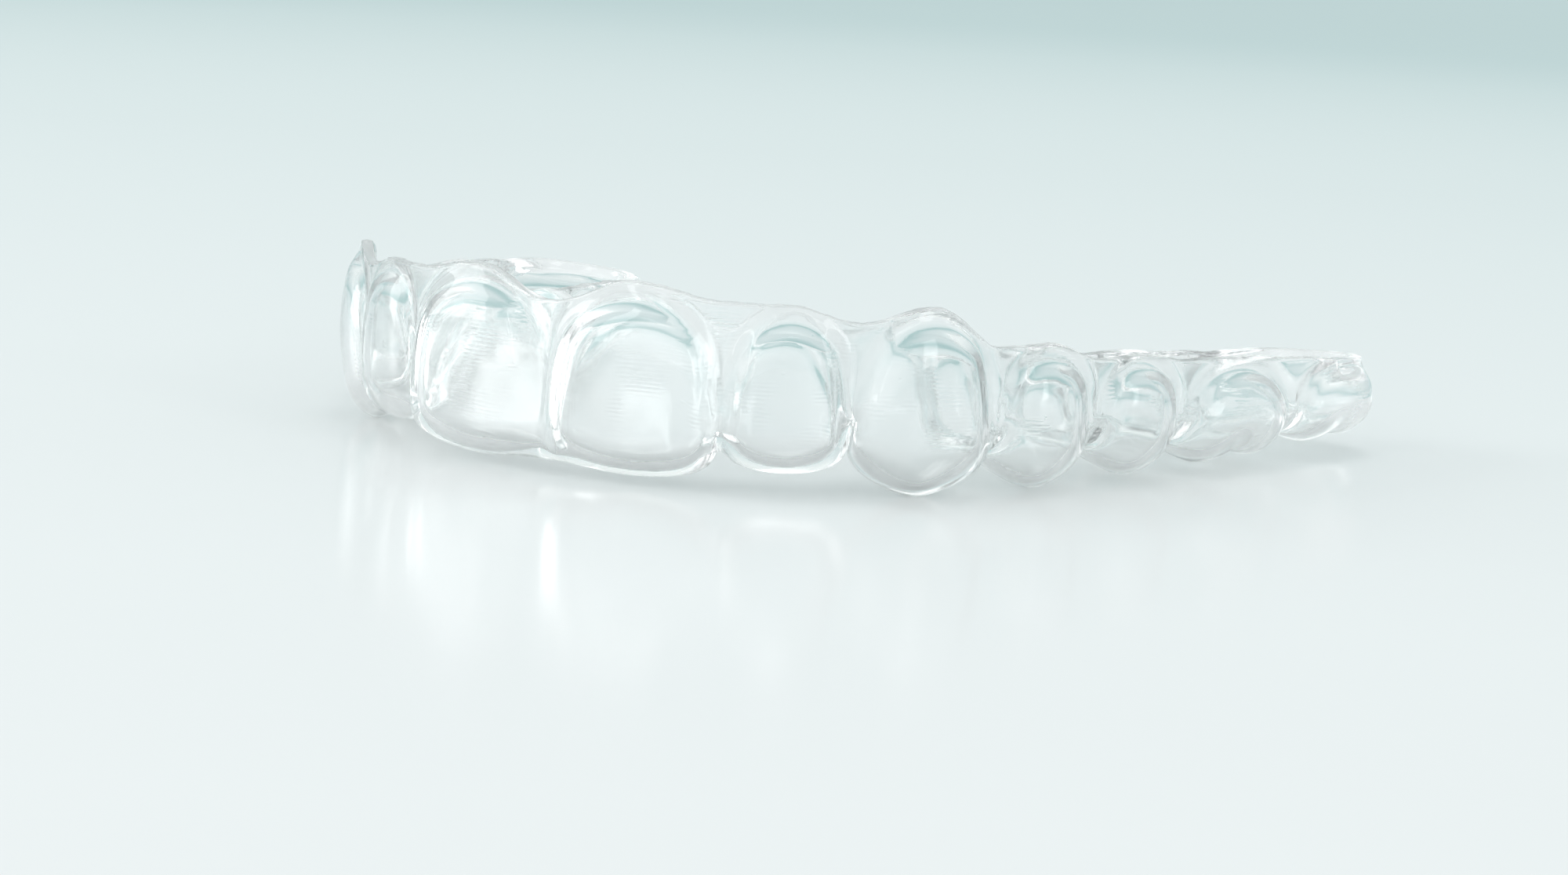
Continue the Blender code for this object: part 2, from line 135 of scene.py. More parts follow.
# %% Rounded maximum and minimum, and curves through knots
def soft_max(a, b, blend):
    """The larger of two distances, rounded over the given width where they cross."""
    overlap = np.maximum(blend - np.abs(a - b), 0.0) / blend
    return np.maximum(a, b) + overlap * overlap * blend / 4


def soft_min(a, b, blend):
    """The smaller of two distances, rounded in the same way."""
    return -soft_max(-a, -b, blend)


def level_at_knots(at, knots, values):
    """Values between knots, joined by curves that are level at every knot."""
    knots = np.asarray(knots, float)
    values = np.asarray(values, float)
    index = np.clip(np.searchsorted(knots, at, side="right") - 1, 0, len(knots) - 2)
    share = np.clip((at - knots[index]) / (knots[index + 1] - knots[index]), 0.0, 1.0)
    share = share * share * (3 - 2 * share)
    return values[index] * (1 - share) + values[index + 1] * share


def edges_and_middles(at_edges, at_middles):
    """Knots and values that go from edge to middle to edge along the row of crowns."""
    knots = np.empty(len(EDGES) + len(MIDDLES))
    values = np.empty(len(knots))
    knots[0::2] = EDGES
    knots[1::2] = MIDDLES
    values[0::2] = at_edges
    values[1::2] = at_middles
    return knots, values


FURTHEST_SHARE = 1.15


def through_three(share, three):
    """The parabola that takes the three values at shares 0, 1/2 and 1."""
    low, middle, high = three
    share = np.clip(share, 0.0, FURTHEST_SHARE)
    return (low * (2 * share - 1) * (share - 1) + middle * 4 * share * (1 - share)
            + high * share * (2 * share - 1))


print("two walls that blend over 0.35 mm fill their corner by", soft_max(0.0, 0.0, 0.35), "mm")

# %% [markdown]
# ## The line of the arch
# The arch is a flattened parabola: a square term for the round front, and a fourth power that
# straightens the sides towards the molars. It could be drawn as a Bezier curve, but a formula also
# gives its slope, and so the direction in which each crown faces.

# %% The arch
ARCH_HALF_WIDTH = 28.1
ARCH_DEPTH = 40.2
ARCH_FRONT_SHARE = 0.34
BOW_KEPT = 0.8
PAST_THE_ARCH = 1.4
ARCH_SAMPLES = 4001


def arch_depth(x):
    """How far back the arch is, from a square term that rounds the front and a fourth power."""
    share = x / ARCH_HALF_WIDTH
    return ARCH_DEPTH * (ARCH_FRONT_SHARE * share**2 + (1 - ARCH_FRONT_SHARE) * share**4)


def arch_slope(x):
    """How steeply the arch goes back for each millimetre across."""
    share = x / ARCH_HALF_WIDTH
    rate = 2 * ARCH_FRONT_SHARE * share + 4 * (1 - ARCH_FRONT_SHARE) * share**3
    return ARCH_DEPTH / ARCH_HALF_WIDTH * rate


ARCH_X = np.linspace(0.0, PAST_THE_ARCH * ARCH_HALF_WIDTH, ARCH_SAMPLES)
ARCH_STEPS = np.hypot(np.diff(ARCH_X), np.diff(arch_depth(ARCH_X)))
ARCH_LENGTH = np.concatenate([[0.0], np.cumsum(ARCH_STEPS)])


def arch_frame(at):
    """Point, direction towards the back, and outward normal of the arch at a length from the midline."""
    x = np.interp(at, ARCH_LENGTH, ARCH_X)
    y = arch_depth(x)
    slope = arch_slope(x)
    along = np.stack([np.ones_like(slope), slope], -1) / np.hypot(1.0, slope)[..., None]
    outward = np.stack([along[..., 1], -along[..., 0]], -1)
    return np.stack([x, y], -1), along, outward


def crown_frame(index):
    """Centre and axes of a crown, square to the chord between its two edges."""
    start = arch_frame(EDGES[index])[0]
    end = arch_frame(EDGES[index + 1])[0]
    middle = arch_frame(MIDDLES[index])[0]
    along = (end - start) / np.linalg.norm(end - start)
    outward = np.array([along[1], -along[0]])
    centre = (start + end) / 2
    bow = (middle - centre) @ outward
    return centre + outward * bow * BOW_KEPT, along, outward


CROWN_FRAMES = [crown_frame(index) for index in range(len(CROWNS))]
print("the canine stands at", np.round(CROWN_FRAMES[2][0], 1), "mm from the midline of the arch")

# %% [markdown]
# ## One crown
# Seen from the biting side a crown is a rounded oblong, and a superellipse draws that: a low power for
# the rounder premolars and a high one for the flat, square-shouldered incisors. Its face bulges and
# then turns in at the neck, so the sheet shows each tooth as a shield with a soft outline. The biting
# surface is a curled edge on incisors and a few blended cones where there are cusps.

# %% Distance outside one crown
CUSP_ROUNDING = 1.2
CUSP_BLEND = 0.9
NECK_ROUNDING = 1.3
NECK_CURL = 0.10
WIDEST_AT = 0.32
TIP_NARROWING = 0.05
TAPER_POWER = 1.5
TINY = 1e-6


def crown_sides(k, x, y, rise):
    """Distance outside the walls: a rounded oblong, widest low down and tapered to the back."""
    face = through_three(rise, FACES[k])
    back = through_three(rise, BACKS[k])
    middle = (face + back) / 2
    half_depth = (face - back) / 2
    below = np.clip(1 - rise / WIDEST_AT, 0.0, 1.0)
    above = np.clip((rise - WIDEST_AT) / (1 - WIDEST_AT), 0.0, FURTHEST_SHARE)
    narrowing = TIP_NARROWING * below**2 + (1 - NECK_SHARES[k]) * above**2
    towards_back = np.clip((middle - y) / half_depth, 0.0, 1.0)
    half_width = WIDTHS[k] / 2 * (1 - narrowing) * (1 - BACK_TAPERS[k] * towards_back**TAPER_POWER)
    power = SQUARENESSES[k]
    across = np.abs(x) / half_width + TINY
    deep = np.abs(y - middle) / half_depth + TINY
    level = (across**power + deep**power) ** (1 / power)
    steepness = level ** (1 - power) * np.hypot(across ** (power - 1) / half_width,
                                                deep ** (power - 1) / half_depth)
    outside = (level - 1) / np.maximum(steepness, TINY)
    # inside, both distances to the walls are joined, so that the middle of a crown stays smooth
    to_face = half_depth * (np.maximum(1 - across**power, 0.0) ** (1 / power) - deep)
    to_side = half_width * (np.maximum(1 - deep**power, 0.0) ** (1 / power) - across)
    inside = 1 / np.hypot(1 / np.maximum(to_face, TINY), 1 / np.maximum(to_side, TINY))
    return np.where(level < 1, -inside, outside)


def biting_height(k, x, y):
    """Height of the biting surface over the tip: a curled edge, or cones blended at the cusps."""
    if not CUSPS[k]:
        return EDGE_CURLS[k] * x**2
    height = None
    for cusp_x, cusp_y, cusp_z in CUSPS[k]:
        reach = np.sqrt((x - cusp_x) ** 2 + (y - cusp_y) ** 2 + CUSP_ROUNDING**2)
        cone = cusp_z + CUSP_SLOPES[k] * (reach - CUSP_ROUNDING)
        height = cone if height is None else soft_min(height, cone, CUSP_BLEND)
    return height


def crown_distance(k, x, y, z):
    """Distance outside crown k."""
    centre, along, outward = CROWN_FRAMES[k]
    across = (x - centre[0]) * along[0] + (y - centre[1]) * along[1]
    deep = (x - centre[0]) * outward[0] + (y - centre[1]) * outward[1]
    height = z - TIPS[k]
    sides = crown_sides(k, across, deep, height / (GUMS[k] - TIPS[k]))
    below = (biting_height(k, across, deep) - height) / np.hypot(1.0, CUSP_SLOPES[k])
    curled = np.minimum(across, 0.0) if k == len(CROWNS) - 1 else across
    above = z - GUMS[k] + NECK_CURL * curled**2
    return soft_max(soft_max(sides, below, EDGE_ROUNDINGS[k]), above, NECK_ROUNDING)


print("a point on the arch, 5 mm up the first crown, is",
      round(float(-crown_distance(0, 4.5, 0.4, 5.0)), 2), "mm under the sheet")

# %% [markdown]
# ## Sections along the row
# The sheet is worked out on sections square to the arch, as a technician might saw a model into
# slices. They stand closer together at the contacts between crowns, where the surface turns fast, and
# at the end of the row they swing round, so that one grid also closes the back of the last molar.

# %% Stations: where the sheet is cut into sections
END_ADVANCE = 1.6
STATIONS_ALONG = 300
STATIONS_ROUND_END = 30
CONTACT_CROWDING = 1.6
CONTACT_CROWDING_REACH = 0.9
EVEN_STEPS = 4000


def station_places():
    """Length along the arch and swing of each section: closer at the contacts, then round the end."""
    fine = np.linspace(0.0, END_OF_ROW, EVEN_STEPS)
    crowding = np.ones_like(fine)
    for edge in EDGES[:-1]:
        crowding += CONTACT_CROWDING * np.exp(-(((fine - edge) / CONTACT_CROWDING_REACH) ** 2))
    share = np.concatenate([[0.0], np.cumsum((crowding[1:] + crowding[:-1]) / 2)])
    along = np.interp(np.linspace(0.0, share[-1], STATIONS_ALONG), share, fine)
    turn = np.linspace(0.0, 1.0, STATIONS_ROUND_END + 1)[1:]
    at = np.concatenate([along, END_OF_ROW + END_ADVANCE * turn])
    swing = np.pi / 2 * np.concatenate([np.ones(STATIONS_ALONG), 1 - turn])
    return at, swing


AT, SWING = station_places()
POINT, ALONG, OUTWARD = arch_frame(AT)
ROW_AT = np.minimum(AT, END_OF_ROW)[:, None]
PAST_ROW = np.maximum(AT - END_OF_ROW, 0.0)[:, None]
SINE = np.sin(SWING)[:, None]
COSINE = np.maximum(np.cos(SWING)[:, None], TINY)
print(len(AT), "sections, the closest", round(float(np.diff(AT).min()), 2), "mm apart")


# %% [markdown]
# ## Gum line and trim line
# Above the necks the sheet lies on the gum, whose edge makes a dome over each crown and a point
# between two. The trim line runs a little past it. Both could be drawn as curves by hand, but knots
# at the middles and edges of the crowns keep them with the teeth when a width is changed.

# %% Offsets of the row, gum line and trim line
FACE_SIDE = 1
BACK_SIDE = -1
DOME_WIDTH_POWER = 2.0
DOME_POWER = 0.75


def row_offsets(z):
    """Face and back offsets of the row from the arch, smooth from crown to crown."""
    face = [level_at_knots(ROW_AT, MIDDLES, [three[k] for three in FACES]) for k in range(3)]
    back = [level_at_knots(ROW_AT, MIDDLES, [three[k] for three in BACKS]) for k in range(3)]
    tip = level_at_knots(ROW_AT, MIDDLES, TIPS)
    gum = level_at_knots(ROW_AT, MIDDLES, GUMS)
    rise = (z - tip) / (gum - tip)
    return through_three(rise, face), through_three(rise, back)


def gum_line():
    """Height of the gum's edge at every station."""
    index = np.clip(np.searchsorted(EDGES, ROW_AT, side="right") - 1, 0, len(CROWNS) - 1)
    half_width = np.array(WIDTHS)[index] / 2
    place = np.clip((ROW_AT - MIDDLES[index]) / half_width, -1.0, 1.0)
    point = np.where(place < 0, np.array(GUM_POINT)[index], np.array(GUM_POINT)[index + 1])
    dome = (1 - np.abs(place) ** DOME_WIDTH_POWER) ** DOME_POWER
    return point + (np.array(GUMS)[index] - point) * dome


def trim_height(side):
    """Height at which each section is cut, the same on both sides at the end of the row."""
    at = np.minimum(AT, EDGES[-1])
    front = level_at_knots(at, *edges_and_middles(TRIM_VALLEY, TRIMS))
    rear = level_at_knots(at, *edges_and_middles(BACK_TRIM_VALLEY, BACK_TRIMS))
    own, other = (front, rear) if side == FACE_SIDE else (rear, front)
    share = 0.5 * np.clip(1 - SWING / (np.pi / 2), 0.0, 1.0)
    return own * (1 - share) + other * share


GUM_LINE = gum_line()
NECK_FACE = level_at_knots(ROW_AT, MIDDLES, [three[2] for three in FACES])
print("the gum line runs between", np.round([GUM_LINE.min(), GUM_LINE.max()], 1), "mm")


# %% [markdown]
# ## Gum, web and the whole row
# Between the crowns the sheet can't reach the bottom of the gap, so it bridges it with a web. Crowns,
# gum and web are joined with small blends, which is what makes the soft arcs and the dimples that
# light picks out in a clear sheet. Meshes would need a Boolean and a bevel at each of these joints,
# where distances need only one rounded minimum.

# %% Distance outside the whole row
GUM_INSET = 0.5
END_GUM_INSET = 0.1
LEAST_END_GUM = 0.5
GUM_UNDERLAP = 0.8
BACK_GUM_DROP = 0.7
GUM_BLEND = 0.8
GUM_EDGE_ROUNDING = 1.4
END_SQUARENESS = 2.4
WEB_INSET = 0.95
WEB_LEAST_SHARE = 0.5
WEB_BLEND = 0.4
WEB_EDGE_ROUNDING = 1.4
TIGHTEST_OUTER_FOLD = 1.1
GROOVE_BLEND = 0.35
# further than any ray has to go, so that the web ends with the row
RAY_REACH = 9.0


def row_of_crowns(x, y, z):
    """All crowns of this half, with the first of the other half, joined at sharp grooves."""
    joined = crown_distance(0, -x, y, z)
    for k in range(len(CROWNS)):
        joined = soft_min(joined, crown_distance(k, x, y, z), GROOVE_BLEND)
    return joined


def gum_distance(side, core, out_by, z):
    """Distance outside the gum, a wall set in a little from the necks of the crowns."""
    back = row_offsets(z)[1]
    sideways = (NECK_FACE - core if side == FACE_SIDE else core - back) - GUM_INSET
    endways = np.maximum(WIDTHS[-1] / 2 - END_GUM_INSET - PAST_ROW, LEAST_END_GUM)
    wall = (SINE / sideways) ** END_SQUARENESS + (COSINE / endways) ** END_SQUARENESS
    drop = GUM_UNDERLAP + (BACK_GUM_DROP * SINE if side == BACK_SIDE else 0.0)
    return soft_max(out_by - wall ** (-1 / END_SQUARENESS), GUM_LINE - drop - z, GUM_EDGE_ROUNDING)


def web_distance(side, core, out_by, z):
    """Distance outside the web that the sheet draws between two crowns."""
    face, back = row_offsets(z)
    half_depth = face - core if side == FACE_SIDE else core - back
    wall = np.maximum(half_depth - WEB_INSET, half_depth * WEB_LEAST_SHARE)
    wall = np.maximum(wall, TIGHTEST_OUTER_FOLD)
    low = level_at_knots(ROW_AT, EDGES, WEB_LOW)
    distance = soft_max(out_by - wall, low - z, WEB_EDGE_ROUNDING)
    return np.where(PAST_ROW > 0, RAY_REACH, distance)


print("the web is at least", TIGHTEST_OUTER_FOLD, "mm from the middle of the row")

# %% [markdown]
# ## Finding the two skins of the sheet
# A Solidify modifier is the usual way to thicken a surface, and the coarse solid uses it. At the
# fineness needed here it would fold the inner skin over itself inside the tight incisor edges. So both
# skins are found the same way: rays leave the middle of each section, level down the walls and then
# fanned under the biting edge, and each ray is followed to where the distance is zero, the outer skin,
# and to where it is one sheet thickness less, the inner skin. A fine surface reaches a little further
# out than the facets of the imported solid, so the outer skin is taken a hair under zero to stay inside
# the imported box. The sheet comes out a little thinner in the tightest folds, as a drawn sheet does.

# %% Rays of one side
SHEET = 0.6
FINE_INSET = 0.05
RAYS_ON_WALL = 90
RAYS_ON_NOSE = 80
RAY_STEP = 0.15
HALVINGS = 14
RISE_OVER_WEB = 1.1
RISES_OVER_TIPS = (1.25, 1.25, 2.4, 3.1, 3.1, 3.1, 3.1)


def ray_starts(side):
    """Core offset, start height, and outward and downward part of each ray of one side."""
    over_middles = [tip + rise for tip, rise in zip(TIPS, RISES_OVER_TIPS)]
    over_edges = [low + RISE_OVER_WEB for low in WEB_LOW]
    hub = level_at_knots(np.minimum(AT, END_OF_ROW), *edges_and_middles(over_edges, over_middles))
    top = trim_height(side)
    share = np.linspace(0.0, 1.0, RAYS_ON_WALL)
    wall = top[:, None] + (hub - top)[:, None] * share
    angle = np.linspace(np.pi / 2, 0.0, RAYS_ON_NOSE)[1:]
    start_z = np.concatenate([wall, np.repeat(hub[:, None], len(angle), axis=1)], axis=1)
    out = np.concatenate([np.ones(RAYS_ON_WALL), np.sin(angle)])
    down = np.concatenate([np.zeros(RAYS_ON_WALL), np.cos(angle)])
    face, back = row_offsets(start_z)
    return (face + back) / 2, start_z, out, down


def ray_points(side, rays, length):
    """Where the rays of one side are after the given length."""
    core, start_z, out, down = rays
    heading = np.cos(SWING)[:, None] * ALONG + side * SINE * OUTWARD
    x = POINT[:, None, 0] + OUTWARD[:, None, 0] * core + heading[:, None, 0] * length * out
    y = POINT[:, None, 1] + OUTWARD[:, None, 1] * core + heading[:, None, 1] * length * out
    return x, y, start_z - length * down


def sheet_distance(side, rays, length):
    """Distance outside the sheet at the given length along each ray."""
    x, y, z = ray_points(side, rays, length)
    core, out = rays[0], rays[2]
    joined = soft_min(row_of_crowns(x, y, z), gum_distance(side, core, length * out, z), GUM_BLEND)
    return soft_min(joined, web_distance(side, core, length * out, z), WEB_BLEND)


print("each section is followed by", 2 * (RAYS_ON_WALL + RAYS_ON_NOSE - 1), "rays")


# %% [markdown]
# A ray is stepped outwards until the distance is past the wanted one, and then the last step is
# halved again and again. That is slower than a formula for the surface, but it works for any blend of
# forms, and it gives both skins from one walk.

# %% Follow the rays to a skin
def skin(side, rays, depths):
    """For each depth under the outer surface, the points where the rays first come up to it."""
    shape = rays[1].shape
    inside = [np.zeros(shape) for _ in depths]
    outside = [np.full(shape, RAY_REACH) for _ in depths]
    searching = [np.ones(shape, bool) for _ in depths]
    for length in np.arange(RAY_STEP, RAY_REACH, RAY_STEP):
        distance = sheet_distance(side, rays, np.full(shape, length))
        for k, depth in enumerate(depths):
            found = searching[k] & (distance > -depth)
            outside[k][found] = length
            searching[k] &= ~found
            inside[k][searching[k]] = length
        if not any(left.any() for left in searching):
            break
    skins = []
    for k, depth in enumerate(depths):
        for _ in range(HALVINGS):
            middle = (inside[k] + outside[k]) / 2
            beyond = sheet_distance(side, rays, middle) > -depth
            outside[k] = np.where(beyond, middle, outside[k])
            inside[k] = np.where(beyond, inside[k], middle)
        skins.append(np.stack(ray_points(side, rays, (inside[k] + outside[k]) / 2), axis=-1))
    return skins


face_outer, face_inner = skin(FACE_SIDE, ray_starts(FACE_SIDE), (FINE_INSET, SHEET))
back_outer, back_inner = skin(BACK_SIDE, ray_starts(BACK_SIDE), (FINE_INSET, SHEET))
print("outer skin reaches from", np.round(face_outer.min(axis=(0, 1)), 2), "to",
      np.round(face_outer.max(axis=(0, 1)), 2), "mm")

# %% [markdown]
# ## From rays to a smooth grid
# The rays crowd where the walls are close and spread where they are far, so each section is laid out
# again with evenly spread points that come closer where the line turns. The spacing is calmed from
# section to section, because a grid line that jumps shows as a crease in clear plastic. Both skins use
# the same spacing, taken from the outer one, so that they stay opposite each other.

# %% Even out the sections
POINTS_PER_SIDE = 34
TURN_WEIGHT = 1.0
CALMING_ROUNDS = 12


def ray_places(lines):
    """Ray numbers, with fractions, at which each section gets its points: closer where it turns."""
    places = []
    for line in lines:
        step = np.diff(line, axis=0)
        length = np.linalg.norm(step, axis=1)
        heading = step / np.maximum(length, 1e-9)[:, None]
        turn = np.arccos(np.clip((heading[1:] * heading[:-1]).sum(axis=1), -1.0, 1.0))
        weight = np.cumsum(length + TURN_WEIGHT * np.concatenate([[0.0], turn]))
        weight = np.concatenate([[0.0], weight])
        wanted = np.linspace(0.0, weight[-1], POINTS_PER_SIDE)
        places.append(np.interp(wanted, weight, np.arange(len(weight))))
    return np.array(places)


def calmed(places):
    """The same places, each drawn several times towards those of the sections beside it."""
    for _ in range(CALMING_ROUNDS):
        places[1:-1] = (places[:-2] + 2 * places[1:-1] + places[2:]) / 4
    return places


def at_places(lines, places):
    """The point of each section at each fractional ray number."""
    before = np.minimum(places.astype(int), lines.shape[1] - 2)
    share = (places - before)[..., None]
    rows = np.arange(len(lines))[:, None]
    return lines[rows, before] * (1 - share) + lines[rows, before + 1] * share


def whole_skin(face_lines, back_lines):
    """A grid of points, one row for each section, from the face trim round to the back trim."""
    down = at_places(face_lines, face_places)
    up = at_places(back_lines, back_places)[:, ::-1]
    grid = np.concatenate([down, up[:, 1:]], axis=1)
    grid[0, :, 0] = 0.0
    return grid


face_places = calmed(ray_places(face_outer))
back_places = calmed(ray_places(back_outer))
outer_skin = whole_skin(face_outer, back_outer)
inner_skin = whole_skin(face_inner, back_inner)
wall = np.linalg.norm(outer_skin - inner_skin, axis=-1)
print("grid of", outer_skin.shape[:2], "points, wall from", round(float(wall.min()), 2), "to",
      round(float(wall.max()), 2), "mm")

# %% [markdown]
# ## Closing the sheet
# The cut edge is a narrow band between the two skins. Scissors and a polishing wheel leave it slightly
# rounded and not quite even, so the band gets a crown and the trim line a small waver. Each section
# becomes one closed loop: down the outer skin, over the back rim, back along the inner skin and over
# the face rim. The loops are joined into a tube, the last loop is folded shut, and a Mirror modifier
# makes the other half.

# %% Loops with a rounded rim
RIM_SHARES = (0.12, 0.5, 0.88)
RIM_RISES = (0.05, 0.08, 0.05)
RIM_SHRINK = 0.16
WAVER = 0.035
# of each wave: its size, its radians for each millimetre, and how many times the phase it starts at
WAVES = ((1.0, 2.1, 1.0), (0.6, 5.3, 2.4), (0.5, 9.7, 1.1))
FACE_PHASE = 0.7
BACK_PHASE = 2.9


def waver(at, phase):
    """A few small waves that never repeat, for a line that was cut by hand."""
    waves = [size * np.sin(rate * at + times * phase) for size, rate, times in WAVES]
    return sum(waves) / sum(size for size, rate, times in WAVES)


def rim(from_point, to_point):
    """The crowned band between the two skins at the cut edge."""
    return [from_point * (1 - share) + to_point * share + np.array([0.0, 0.0, rise])
            for share, rise in zip(RIM_SHARES, RIM_RISES)]


def section_loops(outer, inner):
    """One closed loop of points for each section, all with the same number of points."""
    loops = []
    for k in range(len(outer)):
        out_line = outer[k].copy()
        in_line = inner[k].copy()
        lift = WAVER * waver(AT[k], FACE_PHASE)
        back_lift = WAVER * waver(AT[k], BACK_PHASE)
        for line in (out_line, in_line):
            line[0, 2] += lift * SINE[k, 0] - RIM_SHRINK
            line[-1, 2] += back_lift * SINE[k, 0] - RIM_SHRINK
        back_rim = rim(out_line[-1], in_line[-1])
        face_rim = rim(in_line[0], out_line[0])
        loops.append(np.concatenate([out_line, back_rim, in_line[::-1], face_rim]))
    return np.array(loops)


loops = section_loops(outer_skin, inner_skin)
print(loops.shape[0], "loops of", loops.shape[1], "points")

# %% [markdown]
# The formulas have their zero on the arch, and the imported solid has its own. The box of the packed
# sheet gives the middle and the lowest point, so the loops are moved there by two differences.

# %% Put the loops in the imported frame
low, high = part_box("aligner_sheet")
middle_y = (outer_skin[..., 1].min() + outer_skin[..., 1].max()) / 2
wanted_y = (low[1] + high[1]) / 2 / MM
shift = np.array([0.0, wanted_y - middle_y, low[2] / MM - outer_skin[..., 2].min()])
loops = loops + shift
print("moved by", np.round(shift, 3), "mm to stand where the packed sheet stands")


# %% [markdown]
# The loops become a tube of quads. Its last loop has to be closed behind the molar. A cap of one big
# face would show as a flat window in clear plastic, so the last loop is folded shut instead: its back
# half uses the points of its face half. The faces are also told apart here, because the outer skin,
# the inner skin and the cut edge of a real sheet have three different finishes.

# %% Faces of the folded tube
def tube_faces(loop_count, outer_count):
    """Quads between the loops. In the last loop the back half shares the face half's points."""
    size = 2 * outer_count + 2 * len(RIM_SHARES)
    rim_count = len(RIM_SHARES)

    def place(row, column):
        column = column % size
        if row < loop_count - 1:
            return row * size + column
        if column < outer_count:
            column = min(column, outer_count - 1 - column)
        elif column < outer_count + rim_count:
            column = 2 * outer_count + 2 * rim_count - 1 - (column - outer_count)
        elif column < 2 * outer_count + rim_count:
            along = column - outer_count - rim_count
            column = outer_count + rim_count + max(along, outer_count - 1 - along)
        return row * size + column

    faces = []
    for row in range(loop_count - 1):
        for column in range(size):
            corners = (place(row, column), place(row, column + 1),
                       place(row + 1, column + 1), place(row + 1, column))
            faces.append(tuple(dict.fromkeys(corners)))
    return faces


OUTER_SKIN = 0
INNER_SKIN = 1
CUT_EDGE = 2


def finish_of_columns(outer_count):
    """Which finish each face of a loop has: outer skin, back rim, inner skin, face rim."""
    rim_faces = len(RIM_SHARES) + 1
    skin_faces = outer_count - 1
    return ([OUTER_SKIN] * skin_faces + [CUT_EDGE] * rim_faces
            + [INNER_SKIN] * skin_faces + [CUT_EDGE] * rim_faces)


tube = tube_faces(len(loops), outer_skin.shape[1])
finishes = finish_of_columns(outer_skin.shape[1]) * (len(loops) - 1)
print(len(tube), "faces on the half sheet,", finishes.count(CUT_EDGE), "of them on the cut edge")


# %% [markdown]
# One half is turned into a mesh, and a Mirror modifier makes the other. The first loop lies on the
# midline, so the two halves share its points and the sheet is one piece.

# %% Build the sheet and mirror it
def add_half_sheet(name):
    """The half sheet as a mesh with only the points its faces use, and a Mirror for the other half."""
    points = loops.reshape(-1, 3) * MM
    used = np.unique([corner for face in tube for corner in face])
    renumber = np.full(len(points), -1)
    renumber[used] = np.arange(len(used))
    mesh = bpy.data.meshes.new(name)
    mesh.from_pydata(points[used].tolist(), [], [[int(renumber[c]) for c in face] for face in tube])
    mesh.polygons.foreach_set("material_index", finishes)
    mesh.update()
    mesh.shade_smooth()
    piece = bpy.data.objects.new(name, mesh)
    bpy.context.scene.collection.objects.link(piece)
    mirror = piece.modifiers.new("other half", "MIRROR")
    mirror.merge_threshold = 0.01 * MM
    return piece


sheet = add_half_sheet("clear_sheet")
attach(sheet, "root")
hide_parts("aligner_sheet")
print("the sheet replaces the packed solid and rides on it")

# %% [markdown]
# ## Clear drawn plastic
# The sheet is a clear copolyester or polyurethane, drawn hot over a printed model. Its outer skin
# touches nothing while it is soft, so it sets glossy, with the faint ripple of a stretched sheet and a
# few tiny dents from handling. The index of such plastics is 1.50 to 1.57. A little less is used here,
# because it draws the folds as softly as the real sheet shows them.
# One helper gives each of the three finishes the same clear body, and each adds its own texture.

# %% The clear body and a bump helper
CLEAR_TINT = "#fdfefe"
CLEAR_INDEX = 1.45
RIPPLE_SIZE = 2.5 * MM
RIPPLE_HEIGHT = 0.05 * MM
SCUFF_SIZE = 0.8 * MM
DENT_SPACING = 1.8 * MM
DENT_SHARE = 0.07
DENT_DEPTH = 0.03 * MM


def clear_body(name):
    """A clear copolyester with its node tree, its shader and the place on the piece."""
    material = bpy.data.materials.new(name)
    material.use_nodes = True
    tree = material.node_tree
    shader = tree.nodes["Principled BSDF"]
    shader.inputs["Base Color"].default_value = linear(CLEAR_TINT)
    shader.inputs["IOR"].default_value = CLEAR_INDEX
    shader.inputs["Transmission Weight"].default_value = 1.0
    where = add_node(tree, "ShaderNodeTexCoord").outputs["Object"]
    return material, tree, shader, where


def raise_by(tree, pattern, height, strength, below=None):
    """A bump of a height in metres, laid over another bump if there is one."""
    links = {"Height": pattern, "Distance": height, "Strength": strength}
    if below is not None:
        links["Normal"] = below
    return add_node(tree, "ShaderNodeBump", None, links).outputs["Normal"]


print("ripples", RIPPLE_SIZE / MM, "mm, dents", round(2 * DENT_SHARE * DENT_SPACING / MM, 2), "mm across")


# %% [markdown]
# The outer skin comes first. Noise gives the ripple, a spot at the middle of each cell of a Voronoi
# pattern gives the dents, and a finer noise moves the gloss a little, as handling does. The gloss
# itself stays high, so that the lamps stay sharp on the bulges.

# %% Glossy outer skin
def drawn_copolyester():
    """Glossy skin that set in the air: faint ripples, a few dents, and scuffs in its gloss."""
    material, tree, shader, where = clear_body("drawn_copolyester")
    ripples = add_node(tree, "ShaderNodeTexNoise", None,
                       {"Vector": where, "Scale": 1 / RIPPLE_SIZE, "Detail": 1.0})
    cells = add_node(tree, "ShaderNodeTexVoronoi", None,
                     {"Vector": where, "Scale": 1 / DENT_SPACING, "Randomness": 1.0})
    dents = add_node(tree, "ShaderNodeMapRange", {"interpolation_type": "SMOOTHSTEP"},
                     {"Value": cells.outputs["Distance"], "From Min": 0.0, "From Max": DENT_SHARE})
    rippled = raise_by(tree, ripples.outputs["Fac"], RIPPLE_HEIGHT, strength=0.5)
    dented = raise_by(tree, dents.outputs["Result"], DENT_DEPTH, strength=0.6, below=rippled)
    scuffs = add_node(tree, "ShaderNodeTexNoise", None,
                      {"Vector": where, "Scale": 1 / SCUFF_SIZE, "Detail": 4.0})
    gloss = add_node(tree, "ShaderNodeMapRange", None,
                     {"Value": scuffs.outputs["Fac"], "From Min": 0.4, "From Max": 0.8,
                      "To Min": 0.015, "To Max": 0.08})
    tree.links.new(dented, shader.inputs["Normal"])
    tree.links.new(gloss.outputs["Result"], shader.inputs["Roughness"])
    return material


sheet.data.materials.append(drawn_copolyester())
print("outer skin:", sheet.data.materials[OUTER_SKIN].name)

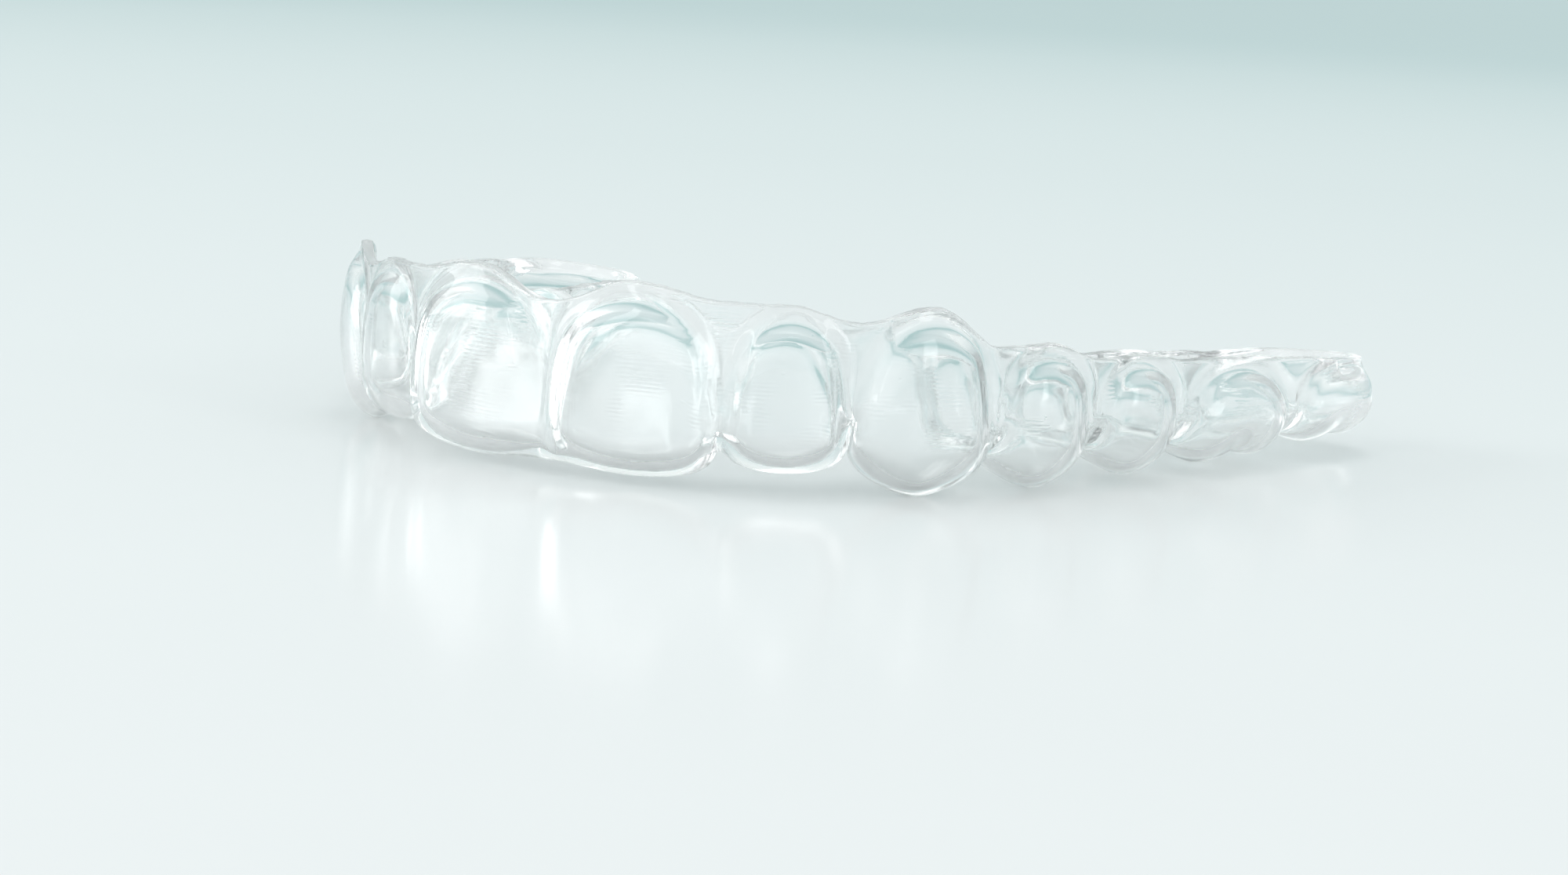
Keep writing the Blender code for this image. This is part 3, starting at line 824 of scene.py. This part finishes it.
# %% [markdown]
# The inner skin is pressed onto the model while it is hot, so it takes the print of it: fine level
# lines, one for each printed layer, and a slight haze. The haze is what keeps a clear aligner from
# looking like blown glass, because what lies behind it is seen a little blurred. Real layers are
# 0.1 mm, too fine for this picture, so they are drawn at 0.22 mm, and only in small patches.

# %% Hazy inner skin
LAYER_PITCH = 0.22 * MM
LAYER_HEIGHT = 0.02 * MM
PATCH_SIZE = 2.6 * MM
# bands that a wave texture of scale 1 draws over one unit
WAVES_PER_UNIT = 20 / (2 * np.pi)


def model_printed_copolyester():
    """Slightly hazy skin with patches of level lines from the printed model."""
    material, tree, shader, where = clear_body("model_printed_copolyester")
    layers = add_node(tree, "ShaderNodeTexWave",
                      {"wave_type": "BANDS", "bands_direction": "Z", "wave_profile": "SIN"},
                      {"Vector": where, "Scale": 1 / (WAVES_PER_UNIT * LAYER_PITCH),
                       "Distortion": 2.5, "Detail": 2.0, "Detail Scale": 0.6})
    patches = add_node(tree, "ShaderNodeTexNoise", None,
                       {"Vector": where, "Scale": 1 / PATCH_SIZE, "Detail": 3.0})
    shown = add_node(tree, "ShaderNodeMapRange", None,
                     {"Value": patches.outputs["Fac"], "From Min": 0.57, "From Max": 0.69})
    lines = add_node(tree, "ShaderNodeMath", {"operation": "MULTIPLY"},
                     {0: layers.outputs["Fac"], 1: shown.outputs["Result"]})
    haze = add_node(tree, "ShaderNodeMapRange", None,
                    {"Value": patches.outputs["Fac"], "From Min": 0.3, "From Max": 0.7,
                     "To Min": 0.08, "To Max": 0.15})
    printed = raise_by(tree, lines.outputs["Value"], LAYER_HEIGHT, strength=0.45)
    tree.links.new(printed, shader.inputs["Normal"])
    tree.links.new(haze.outputs["Result"], shader.inputs["Roughness"])
    return material


sheet.data.materials.append(model_printed_copolyester())
print("inner skin:", sheet.data.materials[INNER_SKIN].name)

# %% [markdown]
# The edge is cut with scissors or a small milling tool and taken down with a felt wheel. That leaves it
# frosted, so it shows as a soft pale line and not as a bright glass rod.

# %% Frosted cut edge
TOOL_MARK = 0.4 * MM
MARK_HEIGHT = 0.015 * MM


def wheel_finished_edge():
    """Frosted edge with short marks of the wheel."""
    material, tree, shader, where = clear_body("wheel_finished_edge")
    marks = add_node(tree, "ShaderNodeTexNoise", None,
                     {"Vector": where, "Scale": 1 / TOOL_MARK, "Detail": 3.0, "Roughness": 0.6})
    frost = add_node(tree, "ShaderNodeMapRange", None,
                     {"Value": marks.outputs["Fac"], "From Min": 0.3, "From Max": 0.7,
                      "To Min": 0.4, "To Max": 0.7})
    marked = raise_by(tree, marks.outputs["Fac"], MARK_HEIGHT, strength=0.35)
    tree.links.new(marked, shader.inputs["Normal"])
    tree.links.new(frost.outputs["Result"], shader.inputs["Roughness"])
    return material


sheet.data.materials.append(wheel_finished_edge())
print("cut edge:", sheet.data.materials[CUT_EDGE].name)

# %% [markdown]
# ## Table, light and air
# The aligner stands on a smooth white table in a bright, pale room. The table's colour fades from white
# under the piece to a pale green-blue far away. That is a painted pool of light falling off into painted
# shade, and it gives the same depth from every side.
# A clear piece shows only what is behind it and what its skins reflect, so the room matters more than the
# lamps.
# Its walls are green-blue low down and pale above, which draws the edges, and one side glows like a
# wide window, which fills the crowns with white. Soft lamps draw the streaks on the bulges.

# %% Table
# numbers of the colour sockets of a Mix node, which share their names with other sockets
MIX_A = 6
MIX_B = 7
MIX_RESULT = 2

TABLE_RADIUS = 10.0
# table colour as painted light: the near tone is a painted pool of light under the piece, the far tone
# painted shade where the light falls off
TABLE_PAINTED_LIGHT_POOL = "#eff2f2"
TABLE_PAINTED_SHADE_FAR = "#cbd9da"
TABLE_ROUGHNESS = 0.15
TABLE_INDEX = 1.25
PAINTED_FALLOFF_START = 0.25
PAINTED_FALLOFF_END = 1.1


def table_with_painted_light_pool():
    """Pale lacquered board with a painted pool of light, near white at the middle, that falls off into
    painted shade, green-blue, far off.

    Lacquer has an index near 1.5. It is lower here, to keep the mirror image on the board faint.
    """
    material = bpy.data.materials.new("table_with_painted_light_pool")
    material.use_nodes = True
    tree = material.node_tree
    shader = tree.nodes["Principled BSDF"]
    place = add_node(tree, "ShaderNodeTexCoord")
    far = add_node(tree, "ShaderNodeVectorMath", {"operation": "LENGTH"})
    tree.links.new(place.outputs["Object"], far.inputs[0])
    # painted fall-off of light with distance from the middle of the table, from the painted pool of light
    # to the painted shade far off
    painted_falloff = add_node(tree, "ShaderNodeMapRange", {"interpolation_type": "SMOOTHSTEP"},
                    {"Value": far.outputs["Value"], "From Min": PAINTED_FALLOFF_START, "From Max": PAINTED_FALLOFF_END})
    colour = add_node(tree, "ShaderNodeMix", {"data_type": "RGBA"},
                      {"Factor": painted_falloff.outputs["Result"], MIX_A: linear(TABLE_PAINTED_LIGHT_POOL),
                       MIX_B: linear(TABLE_PAINTED_SHADE_FAR)})
    tree.links.new(colour.outputs[MIX_RESULT], shader.inputs["Base Color"])
    shader.inputs["Roughness"].default_value = TABLE_ROUGHNESS
    shader.inputs["IOR"].default_value = TABLE_INDEX
    return material


bpy.ops.mesh.primitive_circle_add(vertices=96, radius=TABLE_RADIUS, fill_type="NGON", location=(0, 0, 0))
table = bpy.context.object
table.name = "table"
table.data.materials.append(table_with_painted_light_pool())
print("table is", 2 * TABLE_RADIUS, "m across")

# %% [markdown]
# ## Air
# A photographer would hang pale paper all round and leave one side open to a window. The World can do
# the same without a single wall. Plain pale air is what the camera sees and what lights the table,
# and only rays that have met a glossy or clear skin see the walls with their window side. An image of
# a real studio would also do, but a few tones are easier to steer and need no file.

# %% Air: pale to the camera and as light, with a window side in the reflections
SEEN_AIR = "#cfe2e3"
LIT_AIR = "#f6fafb"
LIT_STRENGTH = 0.73
WINDOW_TONE = "#fdfefe"
WINDOW_SIDE = (-0.4, -0.9, 0.15)
WALL_TONES = ((0.02, "#a3c3c3"), (0.09, "#cdddde"), (0.6, "#eef6f5"))
WINDOW_STARTS = 0.1
WINDOW_FULL = 0.95
WINDOW_STRENGTH = 2.0


def room_air():
    """Plain pale air for the camera and the table, and walls with a window side for the plastic."""
    world = bpy.data.worlds.new("pale_room")
    bpy.context.scene.world = world
    world.use_nodes = True
    tree = world.node_tree
    tree.nodes.clear()
    seen = add_node(tree, "ShaderNodeBackground", None, {"Color": linear(SEEN_AIR), "Strength": 1.0})
    lit = add_node(tree, "ShaderNodeBackground", None,
                   {"Color": linear(LIT_AIR), "Strength": LIT_STRENGTH})
    ways = add_node(tree, "ShaderNodeTexCoord").outputs["Generated"]
    axes = add_node(tree, "ShaderNodeSeparateXYZ", None, {"Vector": ways})
    walls = add_node(tree, "ShaderNodeValToRGB", None, {"Fac": axes.outputs["Z"]})
    walls.color_ramp.elements.new(0.5)
    for stop, (height, tone) in zip(walls.color_ramp.elements, WALL_TONES):
        stop.position = height
        stop.color = linear(tone)
    facing = add_node(tree, "ShaderNodeVectorMath", {"operation": "DOT_PRODUCT"},
                      {0: ways, 1: WINDOW_SIDE})
    glow = add_node(tree, "ShaderNodeMapRange", {"interpolation_type": "SMOOTHSTEP"},
                    {"Value": facing.outputs["Value"], "From Min": WINDOW_STARTS,
                     "From Max": WINDOW_FULL})
    shade = add_node(tree, "ShaderNodeMix", {"data_type": "RGBA"},
                     {"Factor": glow.outputs["Result"], MIX_A: walls.outputs["Color"],
                      MIX_B: linear(WINDOW_TONE)})
    power = add_node(tree, "ShaderNodeMapRange", None,
                     {"Value": glow.outputs["Result"], "To Min": 1.0, "To Max": WINDOW_STRENGTH})
    inner = add_node(tree, "ShaderNodeBackground", None,
                     {"Color": shade.outputs[MIX_RESULT], "Strength": power.outputs["Result"]})
    path = add_node(tree, "ShaderNodeLightPath")
    first = add_node(tree, "ShaderNodeMixShader")
    tree.links.new(path.outputs["Is Diffuse Ray"], first.inputs["Fac"])
    tree.links.new(inner.outputs["Background"], first.inputs[1])
    tree.links.new(lit.outputs["Background"], first.inputs[2])
    second = add_node(tree, "ShaderNodeMixShader")
    tree.links.new(path.outputs["Is Camera Ray"], second.inputs["Fac"])
    tree.links.new(first.outputs["Shader"], second.inputs[1])
    tree.links.new(seen.outputs["Background"], second.inputs[2])
    result = add_node(tree, "ShaderNodeOutputWorld")
    tree.links.new(second.outputs["Shader"], result.inputs["Surface"])


room_air()
print("the window side is", WINDOW_STRENGTH, "times as bright as the walls")

# %% [markdown]
# ## Lamps
# The streaks on the bulges are mirror images of soft boxes, so their shapes matter: a broad box on
# the left for the wide white streaks, a narrow strip in front for the thin ones, a small box on the
# right for the molars, and a weak one overhead, which keeps the shadow under the piece light.

# %% Lamps
ON_THE_PIECE = (0.0, -0.01, 0.005)


def soft_lamp(name, place, aim, size, power):
    """A square soft box at a place, turned to a point."""
    lamp = bpy.data.lights.new(name, "AREA")
    lamp.shape = "RECTANGLE"
    lamp.size, lamp.size_y = size
    lamp.energy = power
    piece = bpy.data.objects.new(name, lamp)
    bpy.context.scene.collection.objects.link(piece)
    piece.location = place
    direction = Vector(aim) - Vector(place)
    piece.rotation_euler = direction.to_track_quat("-Z", "Y").to_euler()
    return piece


soft_lamp("overhead", (0.0, 0.05, 0.6), (0.0, 0.0, 0.0), (0.25, 0.25), 0.42)
soft_lamp("front_left", (-0.52, -0.28, 0.2), ON_THE_PIECE, (0.3, 0.36), 1.1)
soft_lamp("front_strip", (-0.1, -0.5, 0.2), ON_THE_PIECE, (0.03, 0.36), 0.12)
soft_lamp("right_side", (0.53, -0.14, 0.2), ON_THE_PIECE, (0.12, 0.3), 0.33)

# %% [markdown]
# ## Camera
# The picture was taken from a little above the biting plane, from the wearer's left of the midline,
# with a long lens and a slightly tilted frame. The angles and the distance come from fitting the
# crowns' tips, the contacts and the trim line to the picture, with one camera for all of them.

# %% Camera
AZIMUTH = np.radians(27.33)
ELEVATION = np.radians(8.88)
ROLL = np.radians(3.54)
DISTANCE = 170.2 * MM
AIM = Vector((7.44 * MM, -10.44 * MM, 1.56 * MM))
LENS_MM = 73.3
SENSOR_MM = 36.0

level_part = np.cos(ELEVATION)
forward = Vector((-np.sin(AZIMUTH) * level_part, np.cos(AZIMUTH) * level_part, -np.sin(ELEVATION)))
right = Vector((np.cos(AZIMUTH), np.sin(AZIMUTH), 0.0))
up = right.cross(forward)
tilted_right = right * np.cos(ROLL) + up * np.sin(ROLL)
tilted_up = up * np.cos(ROLL) - right * np.sin(ROLL)

lens = bpy.data.cameras.new("camera")
lens.lens = LENS_MM
lens.sensor_width = SENSOR_MM
lens.clip_start = 0.005
lens.clip_end = 50.0
camera = bpy.data.objects.new("camera", lens)
bpy.context.scene.collection.objects.link(camera)
turn = Matrix((tilted_right, tilted_up, -forward)).transposed()
camera.matrix_world = Matrix.Translation(AIM - forward * DISTANCE) @ turn.to_4x4()
bpy.context.scene.camera = camera
bpy.context.scene.view_settings.view_transform = "Standard"
# light crosses up to eight skins of clear plastic on its way, so it is followed further than usual
bpy.context.scene.cycles.max_bounces = 24
bpy.context.scene.cycles.transmission_bounces = 24
bpy.context.scene.cycles.glossy_bounces = 16
print("camera stands at", [round(v, 3) for v in camera.location])
